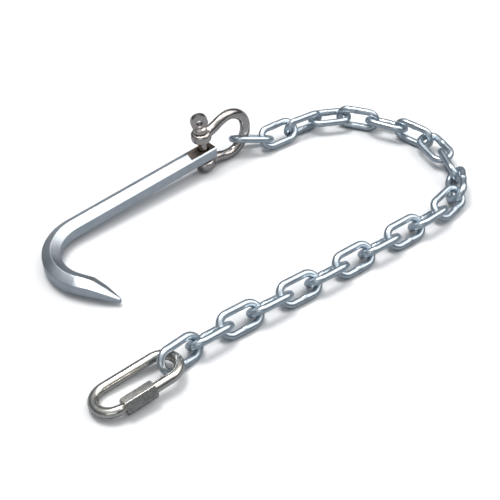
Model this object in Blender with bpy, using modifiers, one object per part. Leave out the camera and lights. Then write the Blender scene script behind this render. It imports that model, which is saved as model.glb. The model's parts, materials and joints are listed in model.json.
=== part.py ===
"""Boat anchor: a hexagonal-bar hook, a bow shackle, a welded link chain and a quick link.

Everything lies on the ground plane z = 0 with the hook's opening and the chain spread out.
Units are metres, +Z is up, and the origin is on the ground under the middle of the assembly.
"""

import math

import bmesh
import bpy
from mathutils import Matrix, Vector

MM = 0.001

# Where the layout's own zero point sits in the part's frame.
LAYOUT_ORIGIN = Vector((-9.08, -3.78, 0.42)) * MM

# Hook: bar, bend, forged tip and milled tang.
BAR_ACROSS_FLATS = 13.0 * MM
BAR_RADIUS = BAR_ACROSS_FLATS / math.sqrt(3.0)
SHANK_LENGTH = 121.5 * MM
BEND_RADIUS = 33.0 * MM
BEND_ANGLE = math.radians(118.0)
BEND_STEPS = 16
TIP_LENGTH = 31.5 * MM
TANG_FRONT = 8.0 * MM
TANG_BACK = 15.5 * MM
TANG_THICKNESS = 9.2 * MM
TANG_HOLE_RADIUS = 4.3 * MM
HOLE_SIDES = 32
HOOK_HOLE = Vector((-35.3, 93.8, 15.35)) * MM
HOOK_HEADING = math.radians(42.0)
HOOK_PITCH = math.radians(2.85)

# Bow shackle and its screw pin. The pin leans a little more than the tang does.
SHACKLE_HEADING = math.radians(40.0)
SHACKLE_TILT = math.radians(6.5)
SHACKLE_RISE = 3.9 * MM
BOW_WIRE_RADIUS = 3.9 * MM
EAR_OFFSET = 13.3 * MM
EAR_RADIUS = 7.8 * MM
EAR_THICKNESS = 8.0 * MM
EAR_ROUNDING = 2.2 * MM
EAR_BORE_RADIUS = 3.9 * MM
BOW_HALF_ROUTE = ((5.0, 13.3), (12.0, 14.6), (19.0, 17.2), (27.0, 18.0), (34.5, 14.6), (39.8, 8.0), (41.5, 0.0))
BOW_STEPS = 4
HANG_POINT = 0.37
PIN_RADIUS = 3.6 * MM
PIN_COLLAR_RADIUS = 5.4 * MM
PIN_COLLAR_GAP = 0.7 * MM
PIN_COLLAR_HEIGHT = 3.6 * MM
PIN_NECK_RADIUS = 3.4 * MM
PIN_EYE_HEIGHT = 26.8 * MM
PIN_EYE_RADIUS = 6.5 * MM
PIN_EYE_THICKNESS = 5.0 * MM
PIN_EYE_HOLE_RADIUS = 2.6 * MM
PIN_EYE_HEADING = math.radians(-75.0)

# Chain: every link is the same welded ring, hung on the last one's crown.
LINK_COUNT = 21
LINK_WIRE_RADIUS = 2.65 * MM
LINK_INNER_LENGTH = 25.25 * MM
LINK_INNER_WIDTH = 9.4 * MM
LINK_CLEARANCE = 1.25 * MM
LINK_SPAN = LINK_INNER_LENGTH + 2 * LINK_WIRE_RADIUS
LINK_ROLL = math.radians(43.0)
LAST_LINK_ROLL = math.radians(-58.0)
ROLLS_BY_SHACKLE = (-30.0, 45.0, -75.0, 0.0, 90.0, -25.0, 90.0, 10.0, -60.0, 55.0, -35.0)
LINK_END_STEPS = 10
WELD_SWELL = 1.12
WELD_HALF_LENGTH = 1.6 * MM
ROUTE_STEPS = 60
FLIPPED_WELDS = (12, 14, 16, 18, 20)
CHAIN_ROUTE = (
    (16.0, 122.0, 8.8),
    (34.5, 136.5, 9.7),
    (55.0, 149.6, 9.9),
    (78.0, 153.2, 9.9),
    (100.0, 145.2, 10.0),
    (122.0, 134.0, 10.3),
    (141.0, 118.5, 9.9),
    (150.8, 96.0, 9.1),
    (155.4, 72.0, 8.9),
    (154.4, 52.5, 8.8),
    (140.2, 35.6, 8.2),
    (119.0, 17.5, 7.9),
    (80.0, -12.0, 7.9),
    (42.0, -41.0, 7.9),
    (3.0, -69.0, 7.9),
    (-35.0, -98.0, 8.2),
    (-58.0, -122.0, 9.6),
)

# Quick link: an open wire loop whose gate is closed by a hexagonal sleeve nut.
QUICK_WIRE_RADIUS = 3.4 * MM
QUICK_HEADING = math.radians(-142.7)
QUICK_PITCH = math.radians(5.0)
QUICK_ROLL = math.radians(8.0)
QUICK_LENGTH = 58.2 * MM
QUICK_WIDTH = 23.4 * MM
QUICK_SLACK = 4.5 * MM
QUICK_DROP = 0.8 * MM
GATE_START = 32.7 * MM
GATE_LENGTH = 8.4 * MM
NUT_ACROSS_FLATS = 11.0 * MM
NUT_LENGTH = 21.5 * MM
NUT_START = 23.6 * MM
NUT_BORE_RADIUS = 3.7 * MM
NUT_CHAMFER = 0.8 * MM

TUBE_BEVEL_RESOLUTION = 2
ZINC_BRIGHT = ((0.80, 0.83, 0.85), 0.28, 1.0)
ZINC_CHAIN = ((0.46, 0.52, 0.57), 0.30, 1.0)
STAINLESS_WARM = ((0.50, 0.46, 0.43), 0.22, 1.0)
STAINLESS_BRIGHT = ((0.58, 0.56, 0.51), 0.24, 1.0)


# Scene helpers


def clear_scene():
    for obj in list(bpy.data.objects):
        bpy.data.objects.remove(obj, do_unlink=True)


def new_collection(name):
    collection = bpy.data.collections.new(name)
    bpy.context.scene.collection.children.link(collection)
    return collection


def new_material(name, finish):
    colour, roughness, metallic = finish
    material = bpy.data.materials.new(name)
    material.use_nodes = True
    shader = material.node_tree.nodes["Principled BSDF"]
    shader.inputs["Base Color"].default_value = (*colour, 1.0)
    shader.inputs["Roughness"].default_value = roughness
    shader.inputs["Metallic"].default_value = metallic
    return material


def add_object(name, data, collection, finish=None):
    obj = bpy.data.objects.new(name, data)
    collection.objects.link(obj)
    if finish is not None:
        data.materials.clear()
        data.materials.append(new_material(name + "_metal", finish))
    return obj


def place(obj, pivot, matrix):
    """Hangs obj on an empty that stands on its joint's axis, and puts it at matrix."""
    empty = bpy.data.objects.new("pivot_" + obj.name, None)
    empty.empty_display_size = 0.01
    obj.users_collection[0].objects.link(empty)
    empty.location = pivot
    obj.parent = empty
    obj.matrix_local = Matrix.Translation(-pivot) @ matrix


def frame_matrix(origin, x_axis, y_axis):
    """A placement whose local X and Y point along two perpendicular directions."""
    z_axis = x_axis.cross(y_axis)
    rotation = Matrix((x_axis, y_axis, z_axis)).transposed()
    return Matrix.Translation(origin) @ rotation.to_4x4()


def cylinder(name, radius, depth, collection, sides=HOLE_SIDES):
    mesh = bpy.data.meshes.new(name)
    solid = bmesh.new()
    bmesh.ops.create_cone(solid, cap_ends=True, segments=sides, radius1=radius, radius2=radius, depth=depth)
    solid.to_mesh(mesh)
    solid.free()
    return add_object(name, mesh, collection)


def box(name, low, high, collection):
    mesh = bpy.data.meshes.new(name)
    solid = bmesh.new()
    bmesh.ops.create_cube(solid, size=1.0)
    size = Vector(high) - Vector(low)
    middle = (Vector(high) + Vector(low)) / 2
    bmesh.ops.scale(solid, vec=size, verts=solid.verts)
    bmesh.ops.translate(solid, vec=middle, verts=solid.verts)
    solid.to_mesh(mesh)
    solid.free()
    return add_object(name, mesh, collection)


def hide_cutter(obj):
    obj.hide_render = True
    obj.display_type = "WIRE"


def boolean(target, tool, operation):
    """Joins tool to target, or cuts it away, in target's own space."""
    tool.parent = target
    hide_cutter(tool)
    modifier = target.modifiers.new(operation.lower() + "_" + tool.name, "BOOLEAN")
    modifier.operation = operation
    modifier.solver = "EXACT"
    modifier.object = tool


def smooth_spline(points, steps):
    """Points along a Catmull-Rom curve through the given ones."""
    padded = [points[0] * 2 - points[1], *points, points[-1] * 2 - points[-2]]
    curve = [points[0].copy()]
    for before, start, end, after in zip(padded, padded[1:], padded[2:], padded[3:]):
        for step in range(1, steps + 1):
            t = step / steps
            curve.append(
                0.5
                * (
                    2 * start
                    + (end - before) * t
                    + (2 * before - 5 * start + 4 * end - after) * t**2
                    + (3 * start - before - 3 * end + after) * t**3
                )
            )
    return curve


def tube_mesh(name, points, radius, cyclic, swells=None):
    """A round wire along points as a closed mesh."""
    curve = bpy.data.curves.new(name + "_wire", "CURVE")
    curve.dimensions = "3D"
    curve.bevel_depth = radius
    curve.bevel_resolution = TUBE_BEVEL_RESOLUTION
    curve.use_fill_caps = not cyclic
    spline = curve.splines.new("POLY")
    spline.points.add(len(points) - 1)
    for i, point in enumerate(points):
        spline.points[i].co = (*point, 1.0)
        spline.points[i].radius = swells[i] if swells else 1.0
    spline.use_cyclic_u = cyclic
    carrier = bpy.data.objects.new(name + "_wire", curve)
    bpy.context.scene.collection.objects.link(carrier)
    evaluated = carrier.evaluated_get(bpy.context.evaluated_depsgraph_get())
    mesh = bpy.data.meshes.new_from_object(evaluated)
    mesh.name = name
    bpy.data.objects.remove(carrier, do_unlink=True)
    bpy.data.curves.remove(curve)
    solid = bmesh.new()
    solid.from_mesh(mesh)
    bmesh.ops.remove_doubles(solid, verts=solid.verts, dist=1e-6)
    bmesh.ops.recalc_face_normals(solid, faces=solid.faces)
    solid.to_mesh(mesh)
    solid.free()
    mesh.shade_smooth()
    return mesh


def turned_solid(name, profile, collection, sides):
    """A solid of revolution about local Z from a (radius, height) profile, top to bottom."""
    mesh = bpy.data.meshes.new(name)
    mesh.from_pydata([(r, 0.0, z) for r, z in profile], [(i, i + 1) for i in range(len(profile) - 1)], [])
    obj = add_object(name, mesh, collection)
    screw = obj.modifiers.new("turn", "SCREW")
    screw.steps = sides
    screw.render_steps = sides
    screw.use_merge_vertices = True
    screw.merge_threshold = 0.00001
    return obj


# Hook


def hook_section(width, top, shoulder, floor):
    """Six corners of the bar: ridge, shoulders and keel, as (sideways, up) pairs."""
    return [
        (0.0, top),
        (width, shoulder),
        (width, -shoulder),
        (0.0, -floor),
        (-width, -shoulder),
        (-width, shoulder),
    ]


def tip_section(side, width, ridge, ridge_height, shoulder, low, keel):
    """Corners near the forged point: a flattened top that leans to the inside of the hook."""
    return [
        (side + ridge, ridge_height),
        (side + width, shoulder - 0.6 * MM),
        (side + width, low),
        (side, keel),
        (side - width, low),
        (side - width, shoulder),
    ]


def hook_stations():
    """Place, heading and section of each ring, from the shank's end round to the point."""
    flat = BAR_ACROSS_FLATS / 2
    bar = hook_section(flat, BAR_RADIUS, BAR_RADIUS / 2, BAR_RADIUS)
    stations = [(Vector((TANG_FRONT, 0, 0)), 0.0, bar), (Vector((-SHANK_LENGTH * 0.6, 0, 0)), 0.0, bar)]
    for step in range(BEND_STEPS + 1):
        turn = BEND_ANGLE * step / BEND_STEPS
        centre = Vector((-SHANK_LENGTH, -BEND_RADIUS, 0))
        place_on_arc = centre + Vector((-math.sin(turn), math.cos(turn), 0)) * BEND_RADIUS
        stations.append((place_on_arc, turn, bar))
    start = stations[-1][0]
    forward = Vector((-math.cos(BEND_ANGLE), -math.sin(BEND_ANGLE), 0))
    tip_sections = (
        (0.32, tip_section(0.0, 6.1 * MM, 1.5 * MM, 5.2 * MM, 4.3 * MM, -3.8 * MM, -7.2 * MM)),
        (0.65, tip_section(-0.6 * MM, 4.2 * MM, 0.8 * MM, 2.0 * MM, 1.6 * MM, -4.6 * MM, -7.3 * MM)),
        (1.0, tip_section(-1.2 * MM, 1.3 * MM, 0.3 * MM, -2.6 * MM, -3.2 * MM, -6.4 * MM, -7.2 * MM)),
    )
    for fraction, section in tip_sections:
        stations.append((start + forward * TIP_LENGTH * fraction, BEND_ANGLE, section))
    return stations


def hook_mesh():
    """The bent bar: rings of six corners lofted along the J, closed at both ends."""
    solid = bmesh.new()
    rings = []
    for centre, turn, section in hook_stations():
        inward = Vector((math.sin(turn), -math.cos(turn), 0))
        rings.append([solid.verts.new(centre + inward * side + Vector((0, 0, up))) for side, up in section])
    for ring, following in zip(rings, rings[1:]):
        for i in range(6):
            j = (i + 1) % 6
            solid.faces.new((ring[i], ring[j], following[j], following[i]))
    solid.faces.new(rings[0])
    solid.faces.new(list(reversed(rings[-1])))
    bmesh.ops.recalc_face_normals(solid, faces=solid.faces)
    mesh = bpy.data.meshes.new("hook")
    solid.to_mesh(mesh)
    solid.free()
    return mesh


def hook_matrix():
    origin = LAYOUT_ORIGIN + HOOK_HOLE
    return Matrix.Translation(origin) @ Matrix.Rotation(HOOK_HEADING, 4, "Z") @ Matrix.Rotation(-HOOK_PITCH, 4, "Y")


def pin_direction():
    """The shackle pin's own upward direction, leaning back along the bar."""
    back = Vector((-math.cos(HOOK_HEADING), -math.sin(HOOK_HEADING), 0))
    return (Vector((0, 0, math.cos(SHACKLE_TILT))) + back * math.sin(SHACKLE_TILT)).normalized()


def build_hook(parts, cutters):
    hook = add_object("hook", hook_mesh(), parts, ZINC_BRIGHT)
    reach = 20 * MM
    half = TANG_THICKNESS / 2
    upper = box("tang_cut_upper", (-TANG_BACK, -reach, half), (reach, reach, reach), cutters)
    lower = box("tang_cut_lower", (-TANG_BACK, -reach, -reach), (reach, reach, -half), cutters)
    hole = cylinder("tang_hole", TANG_HOLE_RADIUS, 40 * MM, cutters)
    for tool in (upper, lower, hole):
        boolean(hook, tool, "DIFFERENCE")
    place(hook, LAYOUT_ORIGIN + HOOK_HOLE, hook_matrix())


# Shackle


def shackle_matrix():
    """Local +X runs out to the bow's crown, local +Z is the pin's direction."""
    up = pin_direction()
    level = Vector((math.cos(SHACKLE_HEADING), math.sin(SHACKLE_HEADING), 0))
    out = (level - up * level.dot(up)).normalized()
    origin = LAYOUT_ORIGIN + HOOK_HOLE + up * SHACKLE_RISE
    return frame_matrix(origin, out, up.cross(out))


def bow_route(steps):
    """The wire's centre line from the upper ear round the crown to the lower ear."""
    upper_half = [Vector((x, 0, z)) * MM for x, z in BOW_HALF_ROUTE]
    lower_half = [Vector((p.x, 0, -p.z)) for p in reversed(upper_half[:-1])]
    return smooth_spline(upper_half + lower_half, steps)


def build_shackle_bow(parts, cutters):
    route = bow_route(BOW_STEPS)
    bow = add_object("shackle_bow", tube_mesh("shackle_bow", route, BOW_WIRE_RADIUS, False), parts, STAINLESS_WARM)
    rim = EAR_RADIUS - EAR_ROUNDING
    half = EAR_THICKNESS / 2
    rounding = EAR_ROUNDING * (1 - math.sqrt(0.5))
    outline = [
        (0.0, half),
        (rim, half),
        (EAR_RADIUS - rounding, half - rounding),
        (EAR_RADIUS, half - EAR_ROUNDING),
        (EAR_RADIUS, -half + EAR_ROUNDING),
        (EAR_RADIUS - rounding, -half + rounding),
        (rim, -half),
        (0.0, -half),
    ]
    for name, side in (("ear_upper", 1), ("ear_lower", -1)):
        ear = turned_solid(name, outline, cutters, 28)
        ear.location = (0, 0, side * EAR_OFFSET)
        boolean(bow, ear, "UNION")
    bore = cylinder("ear_bore", EAR_BORE_RADIUS, 60 * MM, cutters)
    boolean(bow, bore, "DIFFERENCE")
    matrix = shackle_matrix()
    place(bow, matrix.translation, matrix)


def build_shackle_pin(parts, cutters):
    collar_base = EAR_OFFSET + EAR_THICKNESS / 2 + PIN_COLLAR_GAP
    collar_top = collar_base + PIN_COLLAR_HEIGHT
    end = -EAR_OFFSET - EAR_THICKNESS / 2
    chamfer = 0.6 * MM
    profile = [
        (0.0, PIN_EYE_HEIGHT - 2 * MM),
        (PIN_NECK_RADIUS, PIN_EYE_HEIGHT - 2 * MM),
        (PIN_NECK_RADIUS, collar_top + chamfer),
        (PIN_COLLAR_RADIUS - chamfer, collar_top),
        (PIN_COLLAR_RADIUS, collar_top - chamfer),
        (PIN_COLLAR_RADIUS, collar_base),
        (PIN_RADIUS, collar_base),
        (PIN_RADIUS, end + chamfer),
        (PIN_RADIUS - chamfer, end),
        (0.0, end),
    ]
    pin = turned_solid("shackle_pin", profile, parts, 28)
    pin.data.materials.append(new_material("shackle_pin_metal", STAINLESS_WARM))
    matrix = shackle_matrix()
    facing = Matrix.Rotation(PIN_EYE_HEADING - SHACKLE_HEADING, 4, "Z") @ Matrix.Rotation(math.pi / 2, 4, "Y")
    eye = cylinder("pin_eye", PIN_EYE_RADIUS, PIN_EYE_THICKNESS, cutters, 28)
    hole = cylinder("pin_eye_hole", PIN_EYE_HOLE_RADIUS, 4 * PIN_EYE_THICKNESS, cutters, 20)
    for tool, operation in ((eye, "UNION"), (hole, "DIFFERENCE")):
        tool.matrix_local = Matrix.Translation((0, 0, PIN_EYE_HEIGHT)) @ facing
        boolean(pin, tool, operation)
    place(pin, matrix.translation, matrix)


# Chain


def link_route():
    """Centre line of one link: its near crown's wire lies at the origin, its far one at LINK_SPAN."""
    end_radius = LINK_INNER_WIDTH / 2 + LINK_WIRE_RADIUS
    far = LINK_SPAN - end_radius
    near = end_radius
    points = []
    for step in range(LINK_END_STEPS + 1):
        angle = -math.pi / 2 + math.pi * step / LINK_END_STEPS
        points.append(Vector((far + end_radius * math.cos(angle), end_radius * math.sin(angle), 0)))
    for offset in (WELD_HALF_LENGTH, 0.0, -WELD_HALF_LENGTH):
        points.append(Vector((LINK_SPAN / 2 + offset, end_radius, 0)))
    for step in range(LINK_END_STEPS + 1):
        angle = math.pi / 2 + math.pi * step / LINK_END_STEPS
        points.append(Vector((near + end_radius * math.cos(angle), end_radius * math.sin(angle), 0)))
    swells = [1.0] * len(points)
    swells[LINK_END_STEPS + 2] = WELD_SWELL
    return points, swells


def point_at_distance(route, centre, distance, first):
    """Where the route leaves a sphere about centre, searching from index first."""
    i = first
    while (route[i] - centre).length < distance:
        i += 1
    before = (route[i - 1] - centre).length
    after = (route[i] - centre).length
    return route[i - 1].lerp(route[i], (distance - before) / (after - before)), i - 1


def link_roll(number):
    """Turn about a link's own length from lying flat: the first ones differ, the rest alternate."""
    if number <= len(ROLLS_BY_SHACKLE):
        roll = math.radians(ROLLS_BY_SHACKLE[number - 1])
    elif number == LINK_COUNT:
        roll = LAST_LINK_ROLL
    else:
        roll = LINK_ROLL if number % 2 == 0 else -LINK_ROLL
    if number in FLIPPED_WELDS:
        roll += math.pi
    return roll


def chain_layout():
    """The pivot of every joint along the chain, and the placement of every link.

    Pivots are the wire centres of the crowns that links hang on: the bow's, then each
    link's far one. A link's near crown sits behind its pivot, halfway round the bend
    between the two pieces, so that neither side of a link is pinched.
    """
    crown = bow_route(ROUTE_STEPS)
    pivot = shackle_matrix() @ crown[round((1 - HANG_POINT) * (len(crown) - 1))]
    route = smooth_spline([pivot] + [LAYOUT_ORIGIN + Vector(p) * MM for p in CHAIN_ROUTE], ROUTE_STEPS)
    pivots = [pivot]
    placements = []
    before = (route[1] - route[0]).normalized()
    reach = BOW_WIRE_RADIUS + LINK_CLEARANCE + LINK_WIRE_RADIUS
    index = 1
    for number in range(1, LINK_COUNT + 1):
        along = before
        for _ in range(6):
            near = pivot - (before + along).normalized() * reach
            target, found = point_at_distance(route, near, LINK_SPAN, index)
            along = (target - near).normalized()
        side = Vector((0, 0, 1)).cross(along).normalized()
        across = side * math.cos(link_roll(number)) + along.cross(side) * math.sin(link_roll(number))
        placements.append(frame_matrix(near, along, across))
        pivot = near + along * LINK_SPAN
        pivots.append(pivot)
        before = along
        index = found
        reach = 2 * LINK_WIRE_RADIUS + LINK_CLEARANCE
    return pivots, placements


def build_chain(parts, pivots, placements):
    points, swells = link_route()
    mesh = tube_mesh("chain_link", points, LINK_WIRE_RADIUS, True, swells)
    for i, placement in enumerate(placements):
        link = add_object(f"chain_link_{i + 1:02d}", mesh.copy(), parts, ZINC_CHAIN)
        place(link, pivots[i], placement)


# Quick link


def quick_matrix(pivots):
    """Local +X runs away from the chain, local +Y points to the gate's side."""
    pivot = pivots[LINK_COUNT]
    turn = Matrix.Rotation(QUICK_HEADING, 4, "Z") @ Matrix.Rotation(QUICK_PITCH, 4, "Y")
    roll = Matrix.Rotation(QUICK_ROLL, 4, "X")
    hang = -LINK_WIRE_RADIUS - QUICK_SLACK - QUICK_WIRE_RADIUS
    return Matrix.Translation(pivot - Vector((0, 0, QUICK_DROP))) @ turn @ roll @ Matrix.Translation((hang, 0, 0))


def quick_route():
    """The open loop from the gate's far stub round both crowns to its near stub."""
    radius = QUICK_WIDTH / 2
    near = radius
    far = QUICK_LENGTH - radius
    points = [Vector((GATE_START + GATE_LENGTH, radius, 0))]
    for step in range(13):
        angle = math.pi / 2 - math.pi * step / 12
        points.append(Vector((far + radius * math.cos(angle), radius * math.sin(angle), 0)))
    for step in range(13):
        angle = -math.pi / 2 - math.pi * step / 12
        points.append(Vector((near + radius * math.cos(angle), radius * math.sin(angle), 0)))
    points.append(Vector((GATE_START, radius, 0)))
    return points


def build_quick_link(parts, cutters, pivots):
    matrix = quick_matrix(pivots)
    pivot = pivots[LINK_COUNT]
    mesh = tube_mesh("quick_link_body", quick_route(), QUICK_WIRE_RADIUS, False)
    body = add_object("quick_link_body", mesh, parts, STAINLESS_BRIGHT)
    place(body, pivot, matrix)

    corner = NUT_ACROSS_FLATS / math.sqrt(3.0)
    half = NUT_LENGTH / 2
    nut = cylinder("quick_link_nut", corner, NUT_LENGTH, parts, 6)
    nut.data.materials.append(new_material("quick_link_nut_metal", STAINLESS_BRIGHT))
    turned = [
        (0.0, half),
        (corner - NUT_CHAMFER, half),
        (corner + NUT_CHAMFER, half - 2 * NUT_CHAMFER),
        (corner + NUT_CHAMFER, -half + 2 * NUT_CHAMFER),
        (corner - NUT_CHAMFER, -half),
        (0.0, -half),
    ]
    chamfer = turned_solid("nut_chamfer", turned, cutters, 36)
    boolean(nut, chamfer, "INTERSECT")
    bore = cylinder("nut_bore", NUT_BORE_RADIUS, 2 * NUT_LENGTH, cutters, 28)
    boolean(nut, bore, "DIFFERENCE")
    along_leg = Matrix.Translation((NUT_START + half, QUICK_WIDTH / 2, 0)) @ Matrix.Rotation(math.pi / 2, 4, "Y")
    place(nut, matrix @ Vector((NUT_START + half, QUICK_WIDTH / 2, 0)), matrix @ along_leg)


def main():
    clear_scene()
    parts = new_collection("boat_anchor")
    cutters = new_collection("cutters")
    pivots, placements = chain_layout()
    build_hook(parts, cutters)
    build_shackle_bow(parts, cutters)
    build_shackle_pin(parts, cutters)
    build_chain(parts, pivots, placements)
    build_quick_link(parts, cutters, pivots)


main()
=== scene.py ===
"""A boat anchor on a pale floor: hexagonal-bar hook, bow shackle, welded chain and quick link.

Every visible piece is built here in its own local space, in metres, then moved to the place of
the CAD node that it stands for. The shackle, the chain and the quick link take their places from
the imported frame's joints and node meshes. The hook takes its place from the HOOK_ constants.
"""

import json
import math

import bmesh
import bpy
import numpy as np
from mathutils import Matrix, Vector, noise


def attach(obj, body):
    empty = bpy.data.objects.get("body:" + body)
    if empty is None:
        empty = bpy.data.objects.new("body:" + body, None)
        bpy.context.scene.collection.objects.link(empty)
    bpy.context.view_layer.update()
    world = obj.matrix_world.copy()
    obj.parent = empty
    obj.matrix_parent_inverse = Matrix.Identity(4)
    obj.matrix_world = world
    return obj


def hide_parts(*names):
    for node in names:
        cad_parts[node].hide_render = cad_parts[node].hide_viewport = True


MM = 0.001

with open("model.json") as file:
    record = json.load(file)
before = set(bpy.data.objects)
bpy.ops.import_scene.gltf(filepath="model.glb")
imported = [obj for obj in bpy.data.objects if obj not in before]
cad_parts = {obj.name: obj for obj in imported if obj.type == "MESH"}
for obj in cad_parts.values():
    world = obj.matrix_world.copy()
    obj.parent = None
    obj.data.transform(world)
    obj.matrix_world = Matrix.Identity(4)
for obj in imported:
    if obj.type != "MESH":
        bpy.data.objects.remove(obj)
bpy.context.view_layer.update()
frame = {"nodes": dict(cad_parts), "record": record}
JOINTS = {joint["child"]: joint for joint in frame["record"]["behaviour"]["joints"]}

# Sizes of the pieces. They repeat the CAD parts' sizes, except that the bow's wire is 0.1 mm
# thicker in radius, its ears are rounder, the nut is 0.6 mm slimmer and the pin eye's hole smaller.
BAR_FLAT = 6.5 * MM
BAR_CORNER = 13.0 * MM / math.sqrt(3.0)
SHANK_LENGTH = 121.5 * MM
BEND_RADIUS = 33.0 * MM
BEND_ANGLE = math.radians(118.0)
TIP_LENGTH = 31.5 * MM
TANG_FRONT = 8.0 * MM
TANG_BACK = 15.5 * MM
TANG_HALF = 4.6 * MM
TANG_HOLE = 4.3 * MM
HOOK_HOLE = Vector((-44.38, 90.02, 15.77)) * MM
HOOK_HEADING = math.radians(42.0)
HOOK_PITCH = math.radians(2.85)
# The brown scar's place in the hook's own space.
SCAR_PLACE = (-145.7 * MM, -57.7 * MM, 5.0 * MM)

SHACKLE_HEADING = math.radians(40.0)
BOW_WIRE = 4.0 * MM
EAR_OFFSET = 13.3 * MM
EAR_RADIUS = 7.8 * MM
EAR_HALF = 4.0 * MM
EAR_ROUNDING = 3.0 * MM
EAR_BORE = 3.9 * MM
BOW_HALF_ROUTE = (
    (5.0, 13.3),
    (12.0, 14.6),
    (19.0, 17.2),
    (27.0, 18.0),
    (34.5, 14.6),
    (39.8, 8.0),
    (41.5, 0.0),
)
PIN_RADIUS = 3.6 * MM
PIN_COLLAR = 5.4 * MM
PIN_COLLAR_GAP = 0.7 * MM
PIN_COLLAR_HEIGHT = 3.6 * MM
PIN_NECK = 3.4 * MM
PIN_EYE_HEIGHT = 26.8 * MM
PIN_EYE_RADIUS = 6.5 * MM
PIN_EYE_HALF = 2.5 * MM
PIN_EYE_HOLE = 1.9 * MM
PIN_EYE_HEADING = math.radians(-75.0)

LINK_COUNT = 21
LINK_WIRE = 2.65 * MM
LINK_SPAN = 30.55 * MM
LINK_END = 7.35 * MM

QUICK_WIRE = 3.4 * MM
QUICK_LENGTH = 58.2 * MM
QUICK_END = 11.7 * MM
QUICK_SLACK = 4.5 * MM
QUICK_DROP = 0.8 * MM
GATE_START = 32.7 * MM
GATE_LENGTH = 8.4 * MM
NUT_FLAT = 5.2 * MM
NUT_START = 23.6 * MM
NUT_LENGTH = 21.5 * MM
NUT_BORE = 3.7 * MM

# Merging, cutting and the shackle's skin.
MERGE_DISTANCE = 1e-7
SLIVER_LENGTH = 1e-8
CUTTER_REACH = 30.0 * MM
VOXEL = 0.32 * MM
RELAX_STEPS = 24

# Camera: it looks at the layout's reference point, from the side of the hook's point.
VIEW_TARGET = Vector((-9.08, -3.78, 0.42)) * MM
VIEW_DISTANCE = 706.2 * MM
VIEW_ELEVATION = math.radians(41.68)
LENS = 72.23
SENSOR = 36.0
CLIP_RANGE = (0.01, 50.0)

# Studio: metres, watts and linear colours.
FLOOR_HEIGHT = -0.1 * MM
FLOOR_REACH = 6.0
FLOOR_TONES = ((0.93, 0.93, 0.93), (0.95, 0.95, 0.95))
FLOOR_IN_REFLECTIONS = (0.30, 0.32, 0.345)
SKY = (
    (0.0, (0.05, 0.055, 0.06, 1.0)),
    (0.55, (0.16, 0.18, 0.20, 1.0)),
    (1.0, (0.85, 0.86, 0.88, 1.0)),
)
LIGHTS = (
    ("key", (-0.30, 0.22, 1.45), (0.55, 0.55), 12.0),
    ("side", (1.25, 0.25, 1.7), (2.1, 2.1), 18.5),
    ("front", (-0.3, -1.6, 0.7), (1.2, 0.5), 2.5),
)


# Mesh helpers


def spline_points(points, steps):
    """Points along a Catmull-Rom curve through the given ones."""
    padded = [points[0] * 2 - points[1], *points, points[-1] * 2 - points[-2]]
    curve = [points[0].copy()]
    for before, start, end, after in zip(padded, padded[1:], padded[2:], padded[3:]):
        for step in range(1, steps + 1):
            t = step / steps
            curve.append(
                0.5
                * (
                    2 * start
                    + (end - before) * t
                    + (2 * before - 5 * start + 4 * end - after) * t**2
                    + (3 * start - before - 3 * end + after) * t**3
                )
            )
    return curve


def arc_lengths(points, closed):
    """Distance along the path to each point, and the whole length."""
    steps = np.linalg.norm(np.diff(points, axis=0), axis=1)
    total = steps.sum()
    if closed:
        total += np.linalg.norm(points[0] - points[-1])
    return np.concatenate(([0.0], np.cumsum(steps))), total


def arc(middle, radius, start, turn, steps):
    """Points of an arc round (middle, 0), from the angle start through turn."""
    angles = [start + turn * step / steps for step in range(steps + 1)]
    return [(middle + radius * math.cos(a), radius * math.sin(a), 0.0) for a in angles]


def sweep(name, points, radii, binormal, closed):
    """A round wire along a flat path. radii holds one row of radii round the wire for each point."""
    points = np.asarray(points, float)
    count, sides = radii.shape
    if closed:
        tangents = np.roll(points, -1, axis=0) - np.roll(points, 1, axis=0)
    else:
        tangents = np.gradient(points, axis=0)
    tangents /= np.linalg.norm(tangents, axis=1)[:, None]
    flat = np.asarray(binormal, float)
    outward = np.cross(tangents, flat)
    angles = np.linspace(0.0, 2 * math.pi, sides, endpoint=False)
    ring = np.cos(angles)[None, :, None] * outward[:, None, :]
    ring = ring + np.sin(angles)[None, :, None] * flat[None, None, :]
    verts = points[:, None, :] + radii[:, :, None] * ring
    verts = verts.reshape(-1, 3)
    faces = []
    for i in range(count if closed else count - 1):
        a, b = i * sides, ((i + 1) % count) * sides
        for j in range(sides):
            k = (j + 1) % sides
            faces.append((a + j, a + k, b + k, b + j))
    if not closed:
        faces.append(tuple(reversed(range(sides))))
        faces.append(tuple(range((count - 1) * sides, count * sides)))
    return finished_mesh(name, verts.tolist(), faces)


def finished_mesh(name, verts, faces, drop_slivers=False):
    """A closed mesh from corners and faces, merged where they meet and facing out."""
    mesh = bpy.data.meshes.new(name)
    mesh.from_pydata(verts, [], faces)
    solid = bmesh.new()
    solid.from_mesh(mesh)
    bmesh.ops.remove_doubles(solid, verts=solid.verts, dist=MERGE_DISTANCE)
    if drop_slivers:
        bmesh.ops.dissolve_degenerate(solid, edges=solid.edges, dist=SLIVER_LENGTH)
    bmesh.ops.recalc_face_normals(solid, faces=solid.faces)
    solid.to_mesh(mesh)
    solid.free()
    return mesh


def lathe(name, profile, sides, closed_profile=False):
    """A solid of revolution about local Z from (radius, height) pairs."""
    verts, faces = [], []
    count = len(profile)
    for step in range(sides):
        angle = 2 * math.pi * step / sides
        verts += [(r * math.cos(angle), r * math.sin(angle), z) for r, z in profile]
    for step in range(sides):
        a, b = step * count, ((step + 1) % sides) * count
        for i in range(count if closed_profile else count - 1):
            j = (i + 1) % count
            faces.append((a + i, a + j, b + j, b + i))
    return finished_mesh(name, verts, faces, drop_slivers=True)


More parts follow.
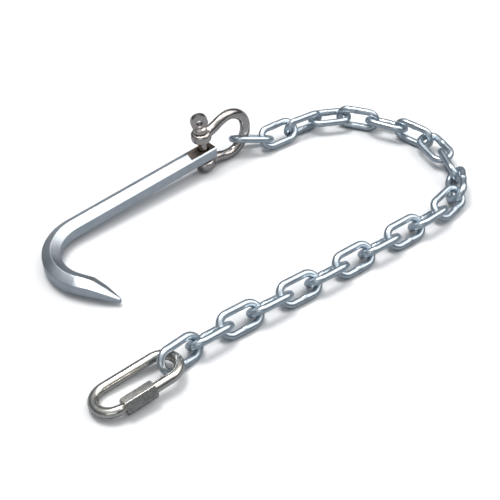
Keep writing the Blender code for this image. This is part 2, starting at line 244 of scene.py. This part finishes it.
def mirrored(upper, middle=()):
    """A profile's upper half, (radius, height) pairs from the top down, with its mirror image."""
    return [*upper, *middle, *((r, -z) for r, z in reversed(upper))]


def rounded(corners, radius, steps=5):
    """Corner points (r, z) with every inner corner replaced by a small arc."""
    points = [corners[0]]
    for before, here, after in zip(corners, corners[1:], corners[2:]):
        here_v, before_v, after_v = Vector(here), Vector(before), Vector(after)
        first, second = before_v - here_v, after_v - here_v
        reach = min(radius, first.length * 0.49, second.length * 0.49)
        start, end = here_v + first.normalized() * reach, here_v + second.normalized() * reach
        for step in range(steps + 1):
            t = step / steps
            points.append(tuple(start * (1 - t) ** 2 + here_v * 2 * t * (1 - t) + end * t**2))
    points.append(corners[-1])
    return points


def new_object(name, mesh, matrix=None):
    """An object for a mesh, in the scene, placed by matrix."""
    obj = bpy.data.objects.new(name, mesh)
    bpy.context.scene.collection.objects.link(obj)
    if matrix is not None:
        obj.matrix_world = matrix
    return obj


def applied(obj, name):
    """obj's mesh with its modifiers applied; obj goes away."""
    bpy.context.view_layer.update()
    evaluated = obj.evaluated_get(bpy.context.evaluated_depsgraph_get())
    mesh = bpy.data.meshes.new_from_object(evaluated)
    mesh.name = name
    bpy.data.objects.remove(obj, do_unlink=True)
    return mesh


def combined(mesh, tool, operation, matrix=None):
    """mesh with tool's mesh joined to it or cut away."""
    target = new_object("work", mesh)
    cutter = new_object("tool", tool, matrix)
    modifier = target.modifiers.new("join", "BOOLEAN")
    modifier.operation = operation
    modifier.solver = "EXACT"
    modifier.object = cutter
    result = applied(target, mesh.name)
    bpy.data.objects.remove(cutter, do_unlink=True)
    return result


def bevelled(mesh, width, segments, limit):
    """mesh with its sharp edges rounded."""
    target = new_object("work", mesh)
    modifier = target.modifiers.new("edges", "BEVEL")
    modifier.width = width
    modifier.segments = segments
    modifier.limit_method = "ANGLE"
    modifier.angle_limit = limit
    modifier.use_clamp_overlap = True
    return applied(target, mesh.name)


def smooth(mesh, angle=None):
    """mesh shaded smooth, with edges over angle degrees left sharp."""
    mesh.shade_smooth()
    if angle is not None:
        mesh.set_sharp_from_angle(angle=math.radians(angle))
    return mesh


def frame_matrix(origin, x_axis, z_axis):
    """The place of a local space: Z along z_axis, X as near x_axis as that allows."""
    x_axis = (x_axis - z_axis * x_axis.dot(z_axis)).normalized()
    y_axis = z_axis.cross(x_axis)
    return Matrix.Translation(origin) @ Matrix((x_axis, y_axis, z_axis)).transposed().to_4x4()


def stand_in(name, mesh, matrix, node, slot, *materials):
    """A finished piece: it hides its CAD node, rides on the node's body and has its materials.

    The mesh moves to its place, and keeps its own local coordinates for its material.
    """
    for material in materials:
        mesh.materials.append(material)
    local = np.empty(len(mesh.vertices) * 3, dtype=np.float32)
    mesh.vertices.foreach_get("co", local)
    mesh.attributes.new("local_place", "FLOAT_VECTOR", "POINT").data.foreach_set("vector", local)
    mesh.transform(matrix)
    piece = new_object(name, mesh)
    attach(piece, node)
    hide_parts(node)


# Materials


class Nodes:
    """A small builder for one metal's node tree."""

    def __init__(self, name, metallic=1.0):
        self.material = bpy.data.materials.new(name)
        self.material.use_nodes = True
        self.tree = self.material.node_tree
        self.shader = self.tree.nodes["Principled BSDF"]
        self.shader.inputs["Metallic"].default_value = metallic
        self.coords = self.add("ShaderNodeAttribute", attribute_name="local_place").outputs["Vector"]

    def add(self, kind, **settings):
        node = self.tree.nodes.new(kind)
        for key, value in settings.items():
            setattr(node, key, value)
        return node

    def link(self, output, target):
        self.tree.links.new(output, target)

    def stretched(self, scale, rotation=(0.0, 0.0, 0.0)):
        mapping = self.add("ShaderNodeMapping")
        mapping.inputs["Scale"].default_value = scale
        mapping.inputs["Rotation"].default_value = rotation
        self.link(self.coords, mapping.inputs["Vector"])
        return mapping.outputs["Vector"]

    def noise(self, scale, detail=3.0, roughness=0.55, vector=None):
        node = self.add("ShaderNodeTexNoise")
        node.inputs["Scale"].default_value = scale
        node.inputs["Detail"].default_value = detail
        node.inputs["Roughness"].default_value = roughness
        self.link(self.coords if vector is None else vector, node.inputs["Vector"])
        return node.outputs["Fac"]

    def ramp(self, value, low, high, start=0.0, end=1.0):
        """value from low..high mapped to start..end, clamped."""
        node = self.add("ShaderNodeMapRange")
        node.inputs["From Min"].default_value = low
        node.inputs["From Max"].default_value = high
        node.inputs["To Min"].default_value = start
        node.inputs["To Max"].default_value = end
        self.link(value, node.inputs["Value"])
        return node.outputs["Result"]

    def math(self, operation, first, second):
        node = self.add("ShaderNodeMath", operation=operation)
        for socket, value in zip(node.inputs, (first, second)):
            if isinstance(value, (int, float)):
                socket.default_value = value
            else:
                self.link(value, socket)
        return node.outputs["Value"]

    def mix(self, factor, first, second):
        node = self.add("ShaderNodeMix", data_type="RGBA")
        self.link(factor, node.inputs["Factor"])
        for socket, value in ((node.inputs["A"], first), (node.inputs["B"], second)):
            if isinstance(value, tuple):
                socket.default_value = (*value, 1.0)
            else:
                self.link(value, socket)
        return node.outputs["Result"]

    def near(self, point, inner, outer):
        """1 close to a point of the piece's own space, fading to 0."""
        node = self.add("ShaderNodeVectorMath", operation="DISTANCE")
        self.link(self.coords, node.inputs[0])
        node.inputs[1].default_value = point
        return self.ramp(node.outputs["Value"], inner, outer, 1.0, 0.0)

    def finish(self, colour, roughness, height, bump_strength, bump_distance):
        self.link(colour, self.shader.inputs["Base Color"])
        self.link(roughness, self.shader.inputs["Roughness"])
        bump = self.add("ShaderNodeBump")
        bump.inputs["Strength"].default_value = bump_strength
        bump.inputs["Distance"].default_value = bump_distance
        self.link(height, bump.inputs["Height"])
        self.link(bump.outputs["Normal"], self.shader.inputs["Normal"])
        return self.material


def hook_zinc():
    """Bright zinc plate over a drawn bar: faint lengthwise lines, cloudy patches and small pits."""
    dull, bright = (0.62, 0.67, 0.71), (0.74, 0.78, 0.81)
    line_grey, pit_grey, scar_brown = (0.45, 0.49, 0.52), (0.36, 0.37, 0.37), (0.30, 0.24, 0.19)
    n = Nodes("hook_zinc_plate")
    clouds = n.noise(70.0, 4.0)
    lines = n.noise(1.0, 4.0, vector=n.stretched((30.0, 1500.0, 1500.0)))
    grain = n.noise(2600.0, 2.0)
    colour = n.mix(n.ramp(clouds, 0.35, 0.68), dull, bright)
    colour = n.mix(n.ramp(lines, 0.62, 0.80, 0.0, 0.35), colour, line_grey)
    pits = n.ramp(n.noise(420.0, 2.0), 0.68, 0.76)
    colour = n.mix(n.math("MULTIPLY", pits, 0.5), colour, pit_grey)
    scar = n.near(SCAR_PLACE, 0.6 * MM, 4.0 * MM)
    scar = n.math("MULTIPLY", scar, n.ramp(n.noise(900.0, 4.0), 0.48, 0.60))
    colour = n.mix(scar, colour, scar_brown)
    roughness = n.ramp(n.math("ADD", clouds, n.math("MULTIPLY", lines, 0.5)), 0.5, 1.0, 0.30, 0.44)
    height = n.math("ADD", n.math("MULTIPLY", lines, 0.6), n.math("SUBTRACT", grain, pits))
    return n.finish(colour, roughness, height, 0.22, 0.00012)


def milled_steel():
    """The tang's milled flats: bare brownish steel with curved cutter marks."""
    dark, light = (0.15, 0.115, 0.095), (0.30, 0.25, 0.215)
    n = Nodes("tang_milled_steel")
    marks = n.add("ShaderNodeTexWave", wave_type="RINGS", rings_direction="SPHERICAL")
    marks.inputs["Scale"].default_value = 260.0
    marks.inputs["Distortion"].default_value = 1.2
    marks.inputs["Detail"].default_value = 2.0
    shifted = n.add("ShaderNodeMapping")
    shifted.inputs["Location"].default_value = (-0.03, 0.012, 0.0)
    n.link(n.coords, shifted.inputs["Vector"])
    n.link(shifted.outputs["Vector"], marks.inputs["Vector"])
    stain = n.noise(220.0, 5.0)
    colour = n.mix(n.ramp(stain, 0.35, 0.7), dark, light)
    roughness = n.ramp(marks.outputs["Fac"], 0.0, 1.0, 0.36, 0.50)
    height = n.math("ADD", n.math("MULTIPLY", marks.outputs["Fac"], 0.7), stain)
    return n.finish(colour, roughness, height, 0.25, 0.00012)


def chain_zinc():
    """Bluish zinc on the links, rubbed bright where crowns meet and dull round the weld."""
    dull, bright = (0.58, 0.66, 0.72), (0.70, 0.775, 0.83)
    weld_grey, rubbed = (0.42, 0.44, 0.46), (0.72, 0.76, 0.79)
    n = Nodes("chain_zinc_plate")
    clouds = n.noise(110.0, 4.0)
    grain = n.noise(900.0, 2.0)
    scuffs = n.noise(1.0, 3.0, vector=n.stretched((200.0, 700.0, 700.0)))
    colour = n.mix(n.ramp(clouds, 0.35, 0.68), dull, bright)
    weld = n.near((LINK_SPAN / 2, LINK_END, 0.0), 1.6 * MM, 4.4 * MM)
    colour = n.mix(n.math("MULTIPLY", weld, 0.5), colour, weld_grey)
    rub_near = n.near((LINK_WIRE, 0.0, 0.0), 1.4 * MM, 4.6 * MM)
    rub_far = n.near((LINK_SPAN - LINK_WIRE, 0.0, 0.0), 1.4 * MM, 4.6 * MM)
    rub = n.math("MAXIMUM", rub_near, rub_far)
    rub = n.math("MULTIPLY", rub, n.ramp(scuffs, 0.3, 0.6, 0.35, 1.0))
    colour = n.mix(n.math("MULTIPLY", rub, 0.5), colour, rubbed)
    roughness = n.ramp(n.math("ADD", clouds, n.math("MULTIPLY", scuffs, 0.3)), 0.40, 0.90, 0.25, 0.35)
    roughness = n.math("ADD", roughness, n.math("MULTIPLY", weld, 0.12))
    height = n.math("ADD", n.math("MULTIPLY", clouds, 1.0), n.math("MULTIPLY", grain, 0.06))
    return n.finish(colour, roughness, height, 0.045, 0.0002)


def shackle_stainless():
    """Polished forged stainless steel with a warm cast, soft forging waves and hairlines."""
    dark, light, grime_brown = (0.56, 0.50, 0.465), (0.68, 0.62, 0.58), (0.30, 0.25, 0.22)
    n = Nodes("shackle_stainless")
    waves = n.noise(160.0, 3.0)
    hairs = n.noise(1.0, 3.0, vector=n.stretched((500.0, 3000.0, 260.0), (0.0, 0.4, 0.3)))
    colour = n.mix(n.ramp(waves, 0.3, 0.7), dark, light)
    grime = n.ramp(n.noise(600.0, 4.0), 0.62, 0.78)
    colour = n.mix(n.math("MULTIPLY", grime, 0.18), colour, grime_brown)
    roughness = n.ramp(n.math("ADD", waves, n.math("MULTIPLY", hairs, 0.6)), 0.5, 1.1, 0.13, 0.22)
    height = n.math("ADD", waves, n.math("MULTIPLY", hairs, 0.12))
    return n.finish(colour, roughness, height, 0.05, 0.0002)


def quick_stainless():
    """Bright drawn stainless wire with faint lengthwise drawing lines."""
    dull, bright, line_grey = (0.62, 0.59, 0.535), (0.75, 0.72, 0.665), (0.42, 0.40, 0.365)
    n = Nodes("quick_link_stainless")
    clouds = n.noise(150.0, 3.0)
    lines = n.noise(1.0, 3.0, vector=n.stretched((60.0, 2600.0, 2600.0)))
    colour = n.mix(n.ramp(clouds, 0.3, 0.7), dull, bright)
    colour = n.mix(n.ramp(lines, 0.60, 0.78, 0.0, 0.25), colour, line_grey)
    roughness = n.ramp(n.math("ADD", clouds, n.math("MULTIPLY", lines, 0.6)), 0.5, 1.1, 0.16, 0.30)
    height = n.math("ADD", n.math("MULTIPLY", clouds, 0.8), n.math("MULTIPLY", lines, 0.25))
    return n.finish(colour, roughness, height, 0.07, 0.0002)


def nut_stainless():
    """The gate nut's milled flats: fine lines across the flats and dulled faces."""
    dull, bright, line_grey = (0.66, 0.63, 0.585), (0.76, 0.73, 0.685), (0.44, 0.41, 0.375)
    n = Nodes("gate_nut_stainless")
    lines = n.noise(1.0, 4.0, vector=n.stretched((700.0, 700.0, 3500.0)))
    clouds = n.noise(260.0, 4.0)
    colour = n.mix(n.ramp(clouds, 0.3, 0.7), dull, bright)
    colour = n.mix(n.ramp(lines, 0.55, 0.75, 0.0, 0.22), colour, line_grey)
    roughness = n.ramp(n.math("ADD", clouds, lines), 0.7, 1.3, 0.22, 0.36)
    height = n.math("ADD", n.math("MULTIPLY", clouds, 0.5), n.math("MULTIPLY", lines, 0.8))
    return n.finish(colour, roughness, height, 0.08, 0.0001)


# Hook


def bar_section():
    """Corners of the hexagonal bar, from the top corner round: across it, and up."""
    side, corner = BAR_FLAT, BAR_CORNER
    half = corner / 2
    return [(0.0, corner), (side, half), (side, -half), (0.0, -corner), (-side, -half), (-side, half)]


def tip_section(side, width, ridge, ridge_height, shoulder, low, keel):
    """Corners near the forged point, as the CAD part's, in millimetres."""
    corners = [
        (side + ridge, ridge_height),
        (side + width, shoulder - 0.6),
        (side + width, low),
        (side, keel),
        (side - width, low),
        (side - width, shoulder),
    ]
    return [(a * MM, b * MM) for a, b in corners]


def hook_rings():
    """Centre, turn and section of each ring from the shank's end to the point."""
    bar = bar_section()
    shank_steps, bend_steps = 13, 72
    rings = [(Vector((TANG_FRONT, 0, 0)), 0.0, bar)]
    for step in range(1, shank_steps):
        back = (SHANK_LENGTH + TANG_FRONT) * step / shank_steps
        rings.append((Vector((TANG_FRONT - back, 0, 0)), 0.0, bar))
    centre = Vector((-SHANK_LENGTH, -BEND_RADIUS, 0))
    for step in range(bend_steps + 1):
        turn = BEND_ANGLE * step / bend_steps
        rings.append((centre + Vector((-math.sin(turn), math.cos(turn), 0)) * BEND_RADIUS, turn, bar))
    start = rings[-1][0]
    forward = Vector((-math.cos(BEND_ANGLE), -math.sin(BEND_ANGLE), 0))
    tips = (
        (0.32, tip_section(0.0, 6.1, 1.5, 5.2, 4.3, -3.8, -7.2)),
        (0.65, tip_section(-0.6, 4.2, 0.8, 2.0, 1.6, -4.6, -7.3)),
        (1.0, tip_section(-1.2, 1.3, 0.3, -2.6, -3.2, -6.4, -7.2)),
    )
    for fraction, section in tips:
        rings.append((start + forward * TIP_LENGTH * fraction, BEND_ANGLE, section))
    return rings


def bent_bar():
    """The hexagonal bar with its bend and forged point, and its long edges rounded."""
    verts, faces = [], []
    rings = hook_rings()
    for centre, turn, section in rings:
        inward = Vector((math.sin(turn), -math.cos(turn), 0))
        verts += [centre + inward * side + Vector((0, 0, up)) for side, up in section]
    for i in range(len(rings) - 1):
        for j in range(6):
            k = (j + 1) % 6
            faces.append((6 * i + j, 6 * i + k, 6 * i + 6 + k, 6 * i + 6 + j))
    faces.append(tuple(range(6)))
    faces.append(tuple(6 * (len(rings) - 1) + j for j in reversed(range(6))))
    return bevelled(finished_mesh("hook", verts, faces), 0.45 * MM, 3, math.radians(20.0))


def milled_flat(mesh, side):
    """The bar with one side of its tang milled away."""
    reach = 20 * MM
    cutter = bpy.data.meshes.new("cutter")
    solid = bmesh.new()
    bmesh.ops.create_cube(solid, size=2 * reach)
    solid.to_mesh(cutter)
    solid.free()
    place = Matrix.Translation((-TANG_BACK + reach, 0, side * (TANG_HALF + reach)))
    return combined(mesh, cutter, "DIFFERENCE", place)


def build_hook():
    mesh = milled_flat(milled_flat(bent_bar(), 1), -1)
    flare, chamfer = 26.0 * MM, 0.4 * MM
    hole = [(0.0, CUTTER_REACH), (TANG_HOLE + flare, CUTTER_REACH), (TANG_HOLE, TANG_HALF - chamfer)]
    mesh = combined(mesh, lathe("hole", mirrored(hole), 64), "DIFFERENCE")
    smooth(mesh, 24)
    for face in mesh.polygons:
        middle = face.center
        in_cut = middle.x > -TANG_BACK - 0.02 * MM and abs(middle.z) < TANG_HALF + 0.02 * MM
        flat = abs(abs(face.normal.z) - 1.0) < 0.02 and abs(abs(middle.z) - TANG_HALF) < 0.05 * MM
        wall = abs(middle.x + TANG_BACK) < 0.02 * MM and abs(face.normal.x) > 0.9
        bore = Vector((middle.x, middle.y)).length < TANG_HOLE + 0.6 * MM
        face.material_index = 1 if (in_cut and (flat or bore)) or wall else 0
    matrix = Matrix.Translation(HOOK_HOLE)
    matrix = matrix @ Matrix.Rotation(HOOK_HEADING, 4, "Z") @ Matrix.Rotation(-HOOK_PITCH, 4, "Y")
    stand_in("hook_bar", mesh, matrix, "hook", "hook_zinc", hook_zinc(), milled_steel())


# Shackle


def shackle_matrix():
    joint = JOINTS["shackle_bow"]
    level = Vector((math.cos(SHACKLE_HEADING), math.sin(SHACKLE_HEADING), 0))
    return frame_matrix(Vector(joint["pos_m"]), level, Vector(joint["axis"]).normalized())


def build_shackle_bow(material):
    upper = [Vector((x, 0, z)) * MM for x, z in BOW_HALF_ROUTE]
    lower = [Vector((p.x, 0, -p.z)) for p in reversed(upper[:-1])]
    path = np.array([tuple(p) for p in spline_points(upper + lower, 20)])
    along, total = arc_lengths(path, False)
    taper = 1.0 + 0.10 * np.exp(-((np.minimum(along, total - along) / (7 * MM)) ** 2))
    radii = np.repeat((BOW_WIRE * taper)[:, None], 40, axis=1)
    mesh = sweep("shackle_bow", path, radii, (0, 1, 0), False)
    ear_profile = rounded(mirrored([(0.0, EAR_HALF), (EAR_RADIUS, EAR_HALF)]), EAR_ROUNDING, 10)
    for side in (1, -1):
        ear = lathe("ear", ear_profile, 72)
        mesh = combined(mesh, ear, "UNION", Matrix.Translation((0, 0, side * EAR_OFFSET)))
    work = new_object("work", mesh)
    remesh = work.modifiers.new("skin", "REMESH")
    remesh.mode = "VOXEL"
    remesh.voxel_size = VOXEL
    relax = work.modifiers.new("relax", "SMOOTH")
    relax.factor = 0.5
    relax.iterations = RELAX_STEPS
    mesh = applied(work, "shackle_bow")
    bore = mirrored([(0.0, CUTTER_REACH), (EAR_BORE, CUTTER_REACH)])
    mesh = combined(mesh, lathe("bore", bore, 72), "DIFFERENCE")
    smooth(mesh, 42)
    stand_in("shackle_bow_forging", mesh, shackle_matrix(), "shackle_bow", "shackle_steel", material)


def build_shackle_pin(material):
    collar_base = EAR_OFFSET + EAR_HALF + PIN_COLLAR_GAP
    collar_top = collar_base + PIN_COLLAR_HEIGHT
    end = -EAR_OFFSET - EAR_HALF
    corners = [
        (0.0, PIN_EYE_HEIGHT),
        (3.0 * MM, PIN_EYE_HEIGHT),
        (PIN_NECK, collar_top + 0.8 * MM),
        (PIN_COLLAR, collar_top - 0.4 * MM),
        (PIN_COLLAR, collar_base),
        (PIN_RADIUS, collar_base),
        (PIN_RADIUS, end),
        (0.0, end),
    ]
    mesh = lathe("shackle_pin", rounded(corners, 0.7 * MM), 72)
    ring = mirrored([(PIN_EYE_HOLE, PIN_EYE_HALF), (PIN_EYE_RADIUS, PIN_EYE_HALF)])
    outline = rounded(ring + ring[:2], 0.55 * MM)[6:-1]
    eye = lathe("eye", outline, 72, closed_profile=True)
    facing = Matrix.Rotation(PIN_EYE_HEADING - SHACKLE_HEADING, 4, "Z") @ Matrix.Rotation(math.pi / 2, 4, "Y")
    place = Matrix.Translation((0, 0, PIN_EYE_HEIGHT)) @ facing
    mesh = combined(mesh, eye, "UNION", place)
    mouth = [(0.0, 9 * MM), (PIN_EYE_HOLE + 4.4 * MM, 9 * MM)]
    mouth += [(PIN_EYE_HOLE + 0.1 * MM, PIN_EYE_HALF - 0.9 * MM)]
    hole = mirrored(mouth, [(PIN_EYE_HOLE - 0.25 * MM, 0.0)])
    mesh = combined(mesh, lathe("hole", hole, 56), "DIFFERENCE", place)
    smooth(mesh, 32)
    stand_in("shackle_pin_screw", mesh, shackle_matrix(), "shackle_pin", "shackle_steel", material)


# Chain


def link_path():
    """One link's centre line: the far crown, the welded leg, the near crown and the plain leg."""
    arc_steps, weld_steps, leg_steps = 44, 64, 16
    leg = LINK_SPAN - 2 * LINK_END
    points = arc(LINK_SPAN - LINK_END, LINK_END, -math.pi / 2, math.pi, arc_steps)
    for step in range(1, weld_steps):
        points.append((LINK_SPAN - LINK_END - leg * step / weld_steps, LINK_END, 0.0))
    points += arc(LINK_END, LINK_END, math.pi / 2, math.pi, arc_steps)
    for step in range(1, leg_steps):
        points.append((LINK_END + leg * step / leg_steps, -LINK_END, 0.0))
    return np.array(points)


def link_mesh(number):
    """One welded link. Each has its own weld bead and slight unevenness."""
    path = link_path()
    sides = 36
    radii = np.full((len(path), sides), LINK_WIRE)
    offset = path[:, 0] - LINK_SPAN / 2 + (number % 3 - 1) * 0.3 * MM
    on_weld = path[:, 1] > LINK_END - 0.01 * MM
    # Across the weld: two lips of bead, the groove between them and the swell to one side.
    lips = np.exp(-(((offset - 0.75 * MM) / (0.55 * MM)) ** 2))
    lips = lips + 0.8 * np.exp(-(((offset + 0.8 * MM) / (0.6 * MM)) ** 2))
    groove = np.exp(-((offset / (0.22 * MM)) ** 2))
    upset = np.exp(-(((offset + 1.6 * MM) / (2.4 * MM)) ** 2))
    bead = np.where(on_weld, 0.22 * lips - 0.16 * groove + 0.10 * upset, 0.0) * MM
    angles = np.linspace(0.0, 2 * math.pi, sides, endpoint=False)
    for i, point in enumerate(path):
        for j, angle in enumerate(angles):
            here = Vector((point[0], point[1] + math.cos(angle) * LINK_WIRE, math.sin(angle) * LINK_WIRE))
            seed = Vector((3.1 * number, 1.7 * number, 0.9 * number))
            lump = noise.noise(here * 700 + seed)
            radii[i, j] += bead[i] * (1.0 + 0.5 * lump) + 0.01 * MM * noise.noise(here * 140 + seed)
    return smooth(sweep(f"link_{number:02d}", path, radii, (0, 0, 1), True))


def link_matrix(number):
    """A link's local space: +X from its near crown to its far one, +Y towards its weld."""
    name = f"chain_link_{number:02d}"
    following = "quick_link_body" if number == LINK_COUNT else f"chain_link_{number + 1:02d}"
    far = Vector(JOINTS[following]["pos_m"])
    normal = Vector(JOINTS[name]["axis"]).normalized()
    node = frame["nodes"][name]
    verts = np.array([tuple(node.matrix_world @ v.co) for v in node.data.vertices])
    spread = verts - verts.mean(axis=0)
    axes = np.linalg.eigh(spread.T @ spread)[1]
    along = Vector(axes[:, 2])
    along = (along - normal * along.dot(normal)).normalized()
    if along.dot(far - Vector(verts.mean(axis=0))) < 0:
        along = -along
    middle = far - along * LINK_SPAN / 2
    weld_side = normal.cross(along)
    if weld_side.dot(Vector(verts.mean(axis=0)) - middle) < 0:
        normal = -normal
    return frame_matrix(far - along * LINK_SPAN, along, normal)


def build_chain(material):
    for number in range(1, LINK_COUNT + 1):
        node = f"chain_link_{number:02d}"
        name = f"welded_link_{number:02d}"
        stand_in(name, link_mesh(number), link_matrix(number), node, "chain_zinc", material)


# Quick link


def quick_matrix():
    pivot = Vector(JOINTS["quick_link_body"]["pos_m"])
    normal = Vector(JOINTS["quick_link_body"]["axis"]).normalized()
    along = -Vector(JOINTS["quick_link_nut"]["axis"]).normalized()
    hang = LINK_WIRE + QUICK_SLACK + QUICK_WIRE
    return frame_matrix(pivot - Vector((0, 0, QUICK_DROP)) - along * hang, along, normal)


def quick_path():
    """The wire's centre line: the far stub, far end, long leg, near end and near stub."""
    stub_steps, end_steps, leg_steps, near_steps = 60, 60, 40, 149
    far = QUICK_LENGTH - QUICK_END
    start = GATE_START + GATE_LENGTH
    points = [(start + (far - start) * step / stub_steps, QUICK_END, 0.0) for step in range(stub_steps)]
    points += arc(far, QUICK_END, math.pi / 2, -math.pi, end_steps)
    for step in range(1, leg_steps):
        points.append((far + (QUICK_END - far) * step / leg_steps, -QUICK_END, 0.0))
    points += arc(QUICK_END, QUICK_END, -math.pi / 2, -math.pi, end_steps)
    for step in range(1, near_steps + 1):
        points.append((QUICK_END + (GATE_START - QUICK_END) * step / near_steps, QUICK_END, 0.0))
    return np.array(points)


def build_quick_link(material):
    thread_length, thread_fade, thread_pitch, thread_depth = 6.6 * MM, 0.6 * MM, 1.0 * MM, 0.5 * MM
    chamfer_length, chamfer_depth = 0.8 * MM, 0.7 * MM
    path = quick_path()
    along, total = arc_lengths(path, False)
    sides = 40
    radii = np.full((len(path), sides), QUICK_WIRE)
    from_end = np.minimum(along, total - along)
    threaded = np.clip((thread_length - from_end) / thread_fade, 0.0, 1.0)
    turns = np.linspace(0.0, 1.0, sides, endpoint=False)
    phase = (along[:, None] / thread_pitch + turns[None, :]) % 1.0
    ridge = np.abs(phase - 0.5) * 2.0
    radii -= threaded[:, None] * ridge * thread_depth
    chamfer = np.clip(1.0 - from_end / chamfer_length, 0.0, 1.0)
    radii -= chamfer[:, None] * chamfer_depth
    mesh = smooth(sweep("quick_link", path, radii, (0, 0, 1), False), 60)
    stand_in("quick_link_wire", mesh, quick_matrix(), "quick_link_body", "quick_link_steel", material)


def build_nut(material):
    corner = 2 * NUT_FLAT / math.sqrt(3.0)
    half = NUT_LENGTH / 2
    mesh = bpy.data.meshes.new("nut")
    solid = bmesh.new()
    bmesh.ops.create_cone(solid, cap_ends=True, segments=6, radius1=corner, radius2=corner, depth=NUT_LENGTH)
    solid.to_mesh(mesh)
    solid.free()
    mesh = bevelled(mesh, 0.25 * MM, 3, math.radians(30.0))
    cone = [(0.0, half + 1 * MM), (corner - 2.2 * MM, half + 1 * MM), (corner - 0.6 * MM, half - 0.1 * MM)]
    cone += [(corner + 0.9 * MM, half - 1.3 * MM)]
    mesh = combined(mesh, lathe("cone", mirrored(cone), 96), "INTERSECT")
    bore = [(0.0, 2 * half), (NUT_BORE + 10.4 * MM, 2 * half), (NUT_BORE, half - 0.4 * MM)]
    mesh = combined(mesh, lathe("bore", mirrored(bore), 72), "DIFFERENCE")
    smooth(mesh, 25)
    along_leg = Matrix.Translation((NUT_START + half, QUICK_END, 0)) @ Matrix.Rotation(math.pi / 2, 4, "Y")
    matrix = quick_matrix() @ along_leg
    stand_in("gate_nut_sleeve", mesh, matrix, "quick_link_nut", "quick_link_steel", material)


# Stage


def build_floor():
    """White paper, which the metal reflects as grey."""
    floor = bpy.data.meshes.new("floor")
    reach = FLOOR_REACH
    corners = [(-reach, -reach, 0), (reach, -reach, 0), (reach, reach, 0), (-reach, reach, 0)]
    floor.from_pydata(corners, [], [(0, 1, 2, 3)])
    paper = Nodes("floor_paper", 0.0)
    tone = paper.mix(paper.noise(3.0, 2.0), *FLOOR_TONES)
    seen = paper.add("ShaderNodeLightPath").outputs["Is Glossy Ray"]
    tone = paper.mix(seen, tone, FLOOR_IN_REFLECTIONS)
    paper.finish(tone, paper.ramp(paper.noise(40.0), 0.0, 1.0, 0.75, 0.85), paper.noise(900.0), 0.02, 0.0001)
    paper.shader.inputs["Specular IOR Level"].default_value = 0.1
    floor.materials.append(paper.material)
    new_object("floor", floor, Matrix.Translation((0, 0, FLOOR_HEIGHT)))


def build_sky():
    """A grey room, dark below the horizon and bright overhead."""
    world = bpy.data.worlds.new("studio")
    bpy.context.scene.world = world
    world.use_nodes = True
    tree = world.node_tree
    background = tree.nodes["Background"]
    coords = tree.nodes.new("ShaderNodeTexCoord")
    split = tree.nodes.new("ShaderNodeSeparateXYZ")
    ramp = tree.nodes.new("ShaderNodeValToRGB")
    (low, low_colour), (middle, middle_colour), (high, high_colour) = SKY
    ramp.color_ramp.elements[0].position = low
    ramp.color_ramp.elements[0].color = low_colour
    ramp.color_ramp.elements[1].position = high
    ramp.color_ramp.elements[1].color = high_colour
    ramp.color_ramp.elements.new(middle).color = middle_colour
    tree.links.new(coords.outputs["Generated"], split.inputs["Vector"])
    tree.links.new(split.outputs["Z"], ramp.inputs["Fac"])
    tree.links.new(ramp.outputs["Color"], background.inputs["Color"])
    background.inputs["Strength"].default_value = 1.0


def build_lights():
    for name, place, size, power in LIGHTS:
        data = bpy.data.lights.new(name, "AREA")
        data.shape = "RECTANGLE"
        data.size, data.size_y = size
        data.energy = power
        light = bpy.data.objects.new(name, data)
        bpy.context.scene.collection.objects.link(light)
        light.location = place
        light.rotation_euler = (-Vector(place)).to_track_quat("-Z", "Y").to_euler()


def build_camera():
    data = bpy.data.cameras.new("camera")
    data.lens = LENS
    data.sensor_width = SENSOR
    data.clip_start, data.clip_end = CLIP_RANGE
    camera = bpy.data.objects.new("camera", data)
    bpy.context.scene.collection.objects.link(camera)
    back = Vector((0, -math.cos(VIEW_ELEVATION), math.sin(VIEW_ELEVATION)))
    camera.location = VIEW_TARGET + back * VIEW_DISTANCE
    camera.rotation_euler = (-back).to_track_quat("-Z", "Y").to_euler()
    bpy.context.scene.camera = camera
    bpy.context.scene.view_settings.view_transform = "Standard"


build_floor()
build_sky()
build_lights()
build_camera()
build_hook()
stainless = shackle_stainless()
build_shackle_bow(stainless)
build_shackle_pin(stainless)
build_chain(chain_zinc())
build_quick_link(quick_stainless())
build_nut(nut_stainless())
